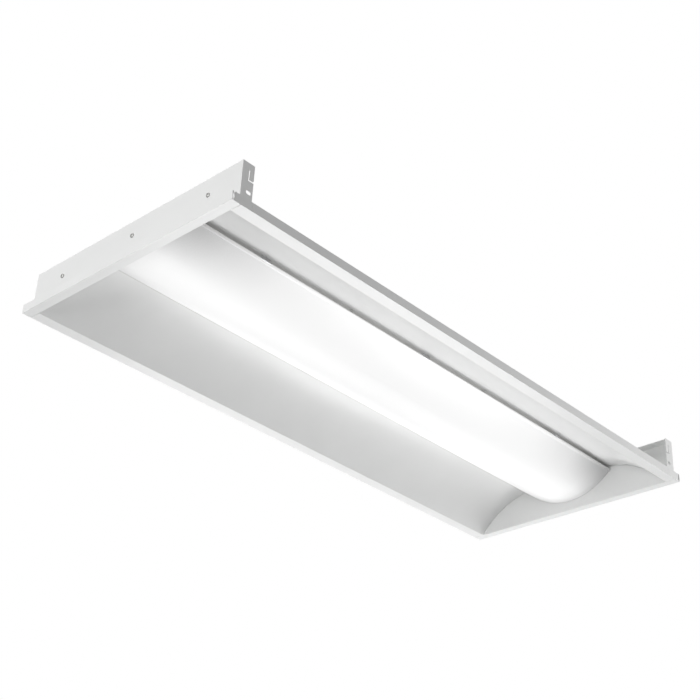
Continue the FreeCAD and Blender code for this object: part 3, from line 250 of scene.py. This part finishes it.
phosphor = plastic("phosphor", (0.86, 0.62, 0.12), (0.78, 0.52, 0.08), 0.35, 0.001)
block_plastic = plastic("connector_plastic", (0.76, 0.74, 0.68), (0.70, 0.68, 0.62))
nylon = plastic("clip_nylon", (0.74, 0.73, 0.68), (0.68, 0.67, 0.62))
splice_plastic = plastic("splice_plastic", (0.74, 0.68, 0.52), (0.68, 0.60, 0.44), 0.2)
rubber = plastic("grommet_rubber", (0.030, 0.030, 0.032), (0.020, 0.020, 0.022), 0.7, 0.003, 0.3)
insulation = {
    "lead_live": plastic("black_insulation", (0.022, 0.022, 0.024), (0.015, 0.015, 0.016), 0.4),
    "lead_neutral": plastic("white_insulation", (0.78, 0.78, 0.76), (0.70, 0.70, 0.68), 0.4),
    "lead_ground": plastic("green_insulation", (0.02, 0.26, 0.07), (0.015, 0.19, 0.05), 0.4),
    "led_lead_front": plastic("red_insulation", (0.50, 0.03, 0.02), (0.38, 0.02, 0.015), 0.4),
    "led_lead_back": plastic("blue_insulation", (0.03, 0.07, 0.42), (0.02, 0.05, 0.30), 0.4),
}
insulation["board_jumpers"] = insulation["lead_neutral"]
lens = lens_material()

LOOKS = {
    "end_plate": white, "wing_reflector": white, "grid_clip": white, "housing_top": back_white,
    "access_plate": back_white, "knockout_slug": back_white, "gear_tray": tray_white, "diffuser": lens,
    "lens_hinge_rail": rail_plastic, "lens_catches": spring, "led_board": mask, "led_emitters": phosphor,
    "board_connectors": block_plastic, "driver_terminals": block_plastic, "driver_case": case_steel,
    "splice_connectors": splice_plastic, "tray_grommet": rubber, "lead_clips": nylon,
    "ground_screw": green_metal, "end_plate_screws": zinc, "tray_screws": bright_zinc, "board_screws": zinc,
    "access_screw": zinc, "driver_screws": zinc, "housing_rivets": rivet_alu, "rail_rivets": rivet_alu,
    "catch_rivets": rivet_alu,
}
for name, thing in nodes.items():
    look = insulation.get(name)
    if look is None:
        found = [key for key in LOOKS if name.startswith(key)]
        look = LOOKS[max(found, key=len)]
    for index in range(len(thing.material_slots)):
        thing.material_slots[index].material = look

# Fasteners: rounded heads with a cross recess, or domed rivets with a hollow end, in place of the plain ones. The
# outlines are (radius, height, lobed), as shares of the head's or shank's own size. HEAD_SHARE is the share of the
# widest radius from which a corner counts as the head's.

TURNS = 32
WELD = 1e-6
LOBE_DEPTH, LOBE_SHARPNESS = 0.58, 1.6
FOOT_SHARE = 0.8
HEAD_SHARE = 0.97
SHARP_EDGE = math.radians(38)
SCREW_END = ((0.0, -1.0, 0), (0.55, -1.0, 0), (1.0, -0.86, 0), (1.0, 0.0, 0))
SCREW_HEAD = ((1.0, 0.0, 0), (1.0, 0.25, 0), (0.96, 0.52, 0), (0.86, 0.78, 0), (0.70, 0.94, 0), (0.56, 1.0, 0),
              (0.52, 1.0, 1), (0.40, 0.45, 1), (0.12, 0.30, 0), (0.0, 0.30, 0))
RIVET_HEAD = ((1.0, 0.0, 0), (0.94, 0.42, 0), (0.72, 0.78, 0), (0.38, 0.96, 0), (0.0, 1.0, 0))
RIVET_FOOT = ((0.0, 0.35, 0), (0.24, 0.40, 0), (0.28, 1.0, 0), (0.50, 1.0, 0), (0.92, 0.55, 0), (1.0, 0.0, 0))


def islands(thing):
    """The corners of each separate solid of a CAD node, at rest."""
    work = bmesh.new()
    work.from_mesh(thing.data)
    bmesh.ops.remove_doubles(work, verts=work.verts, dist=WELD)
    left = set(work.verts)
    while left:
        front = [min(left, key=lambda v: v.index)]
        found = set(front)
        while front:
            for edge in front.pop().link_edges:
                for corner in edge.verts:
                    if corner not in found:
                        found.add(corner)
                        front.append(corner)
        left -= found
        yield [thing.matrix_world @ corner.co for corner in found]
    work.free()


def turned(work, middle, axis, outline):
    """A closed turned solid about axis through middle, with an outline from its foot to its top."""
    along = Vector([1.0 if index == axis else 0.0 for index in range(3)])
    first = Vector([1.0 if index == (axis + 1) % 3 else 0.0 for index in range(3)])
    second = along.cross(first)
    rings = []
    for radius, height, lobed in outline:
        centre = middle + along * height
        if radius == 0:
            rings.append([work.verts.new(centre)])
            continue
        ring = []
        for step in range(TURNS):
            angle = 2 * math.pi * step / TURNS
            lobe = 1 - LOBE_DEPTH * (1 - abs(math.cos(2 * angle)) ** LOBE_SHARPNESS)
            reach = radius * (lobe if lobed else 1.0)
            ring.append(work.verts.new(centre + (first * math.cos(angle) + second * math.sin(angle)) * reach))
        rings.append(ring)
    for low, high in zip(rings, rings[1:]):
        for step in range(TURNS):
            after = (step + 1) % TURNS
            corners = [low[step % len(low)], low[after % len(low)],
                       high[after % len(high)], high[step % len(high)]]
            work.faces.new(list(dict.fromkeys(corners)))


def fasteners(node, axis, riveted=False):
    """One piece with a turned fastener for each solid of a CAD node, of that solid's own size."""
    work = bmesh.new()
    for corners in islands(nodes[node]):
        low, high = [Vector([end(corner[index] for corner in corners) for index in range(3)])
                     for end in (min, max)]
        middle = (low + high) / 2
        middle[axis] = 0.0
        reach = {}
        for corner in corners:
            away = corner - middle
            away[axis] = 0.0
            reach.setdefault(round(corner[axis], 6), []).append(away.length)
        reach = sorted((height, min(sizes), max(sizes)) for height, sizes in reach.items())
        head = max(size for _, _, size in reach)
        shank = min(size for _, size, _ in reach)
        wide = [height for height, _, size in reach if size > head * HEAD_SHARE]
        outward = 1 if max(wide) == reach[-1][0] else -1
        seat, top = (min(wide), max(wide)) if outward > 0 else (max(wide), min(wide))
        rise = abs(top - seat)
        foot = reach[0][0] if outward > 0 else reach[-1][0]
        length = abs(seat - foot)
        if riveted:
            grip = length - rise
            outline = [(r * head * FOOT_SHARE, -grip - h * rise, lobed) for r, h, lobed in RIVET_FOOT]
            outline += [(shank, -grip, 0), (shank, 0.0, 0)]
            outline += [(r * head, h * rise, lobed) for r, h, lobed in RIVET_HEAD]
        else:
            outline = [(r * shank, h * length, lobed) for r, h, lobed in SCREW_END]
            outline += [(r * head, h * rise, lobed) for r, h, lobed in SCREW_HEAD]
        middle[axis] = seat
        turned(work, middle, axis, [(radius, height * outward, lobed) for radius, height, lobed in outline])
    bmesh.ops.recalc_face_normals(work, faces=work.faces)
    mesh = bpy.data.meshes.new(node + "_turned")
    work.to_mesh(mesh)
    work.free()
    mesh.shade_smooth()
    mesh.set_sharp_from_angle(angle=SHARP_EDGE)
    piece = bpy.data.objects.new(node + "_turned", mesh)
    bpy.context.collection.objects.link(piece)
    mesh.materials.append(nodes[node].material_slots[0].material)
    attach(piece, body_of(nodes[node])[0])
    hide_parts(node)


X_AXIS, Y_AXIS, Z_AXIS = 0, 1, 2
fasteners("end_plate_screws", X_AXIS)
for name in ("tray_screws", "board_screws", "access_screw", "driver_screws", "ground_screw"):
    fasteners(name, Z_AXIS)
fasteners("housing_rivets", Z_AXIS, riveted=True)
for name in ("rail_rivets", "catch_rivets"):
    fasteners(name, Y_AXIS, riveted=True)

# Floor, world and lights


def area(name, place, target, size, power):
    """A square lamp of that size and power in watts, which the camera doesn't see."""
    data = bpy.data.lights.new(name, "AREA")
    data.shape = "RECTANGLE"
    data.size, data.size_y = size, size
    data.energy = power
    lamp = bpy.data.objects.new(name, data)
    lamp.location = place
    aim = Vector(target) - Vector(place)
    lamp.rotation_euler = aim.to_track_quat("-Z", "Y").to_euler()
    lamp.visible_camera = False
    bpy.context.collection.objects.link(lamp)


FLOOR_Z = -2.4
FLOOR_SIZE = 14
AMBIENT, BACKDROP = 0.10, 1.0
bpy.ops.mesh.primitive_plane_add(size=FLOOR_SIZE, location=(0, 0, FLOOR_Z))
floor = bpy.context.object
floor.name = "floor"
material, tree, shader = new_material("pale_floor")
tree.links.new(patchy(tree, noise(tree, 0.6, 3), grey(0.76), grey(0.80)), shader.inputs["Base Color"])
shader.inputs["Roughness"].default_value = 0.7
floor.data.materials.append(material)

# The camera and rays that mirror or pass through see the backdrop; all other rays get the dimmer ambient
world = bpy.data.worlds.new("studio")
bpy.context.scene.world = world
world.use_nodes = True
tree = world.node_tree
tree.nodes.clear()
output = tree.nodes.new("ShaderNodeOutputWorld")
ambient = add(tree, "ShaderNodeBackground", {"Color": (1, 1, 1, 1), "Strength": AMBIENT})
backdrop = add(tree, "ShaderNodeBackground", {"Color": (1, 1, 1, 1), "Strength": BACKDROP})
path = add(tree, "ShaderNodeLightPath")
seen = add(tree, "ShaderNodeMath", links={0: path.outputs["Is Camera Ray"], 1: path.outputs["Is Glossy Ray"]},
           operation="MAXIMUM")
seen = add(tree, "ShaderNodeMath", links={0: seen.outputs[0], 1: path.outputs["Is Transmission Ray"]},
           operation="MAXIMUM")
mixed = add(tree, "ShaderNodeMixShader", links={0: seen.outputs[0], 1: ambient.outputs[0], 2: backdrop.outputs[0]})
tree.links.new(mixed.outputs[0], output.inputs["Surface"])

for name, place, target, size, power in (
    ("far_low", (1.50, 1.50, -2.12), (0, 0, 0), 1.8, 67),
    ("near_end", (-2.98, 0.0, -0.31), (0, 0, 0), 1.6, 49),
    ("far_side", (1.75, -1.45, -0.30), (0.25, 0, 0), 1.2, 26),
    ("back_low", (0.0, 2.12, -2.12), (0, 0, 0), 1.8, 8),
    ("above", (0.0, 0.0, 1.8), (0, 0, 0), 2.0, 30),
):
    area(name, place, target, size, power)

# Camera, solved from the edges of the fixture in the photograph

EYE = (-1.642053, -1.507717, -1.167521)
HEADING, CLIMB, ROLL = 0.742316, 0.522516, 0.037641
FOCAL_PIXELS, FRAME_PIXELS, CENTRE_U = 1389.264, 700, 385
SENSOR_WIDTH = 36
ahead = Vector((math.cos(CLIMB) * math.cos(HEADING), math.cos(CLIMB) * math.sin(HEADING), math.sin(CLIMB)))
level = ahead.cross(Vector((0, 0, 1))).normalized()
upright = level.cross(ahead)
right = math.cos(ROLL) * level + math.sin(ROLL) * upright
up = -math.sin(ROLL) * level + math.cos(ROLL) * upright
data = bpy.data.cameras.new("camera")
data.sensor_width = SENSOR_WIDTH
data.lens = FOCAL_PIXELS / FRAME_PIXELS * SENSOR_WIDTH
data.shift_x = (FRAME_PIXELS / 2 - CENTRE_U) / FRAME_PIXELS
data.clip_start = 0.01
data.clip_end = 50
camera = bpy.data.objects.new("camera", data)
turn = Matrix((right, up, -ahead)).transposed()
camera.matrix_world = Matrix.Translation(EYE) @ turn.to_4x4()
bpy.context.collection.objects.link(camera)
bpy.context.scene.camera = camera
bpy.context.scene.view_settings.view_transform = "Standard"
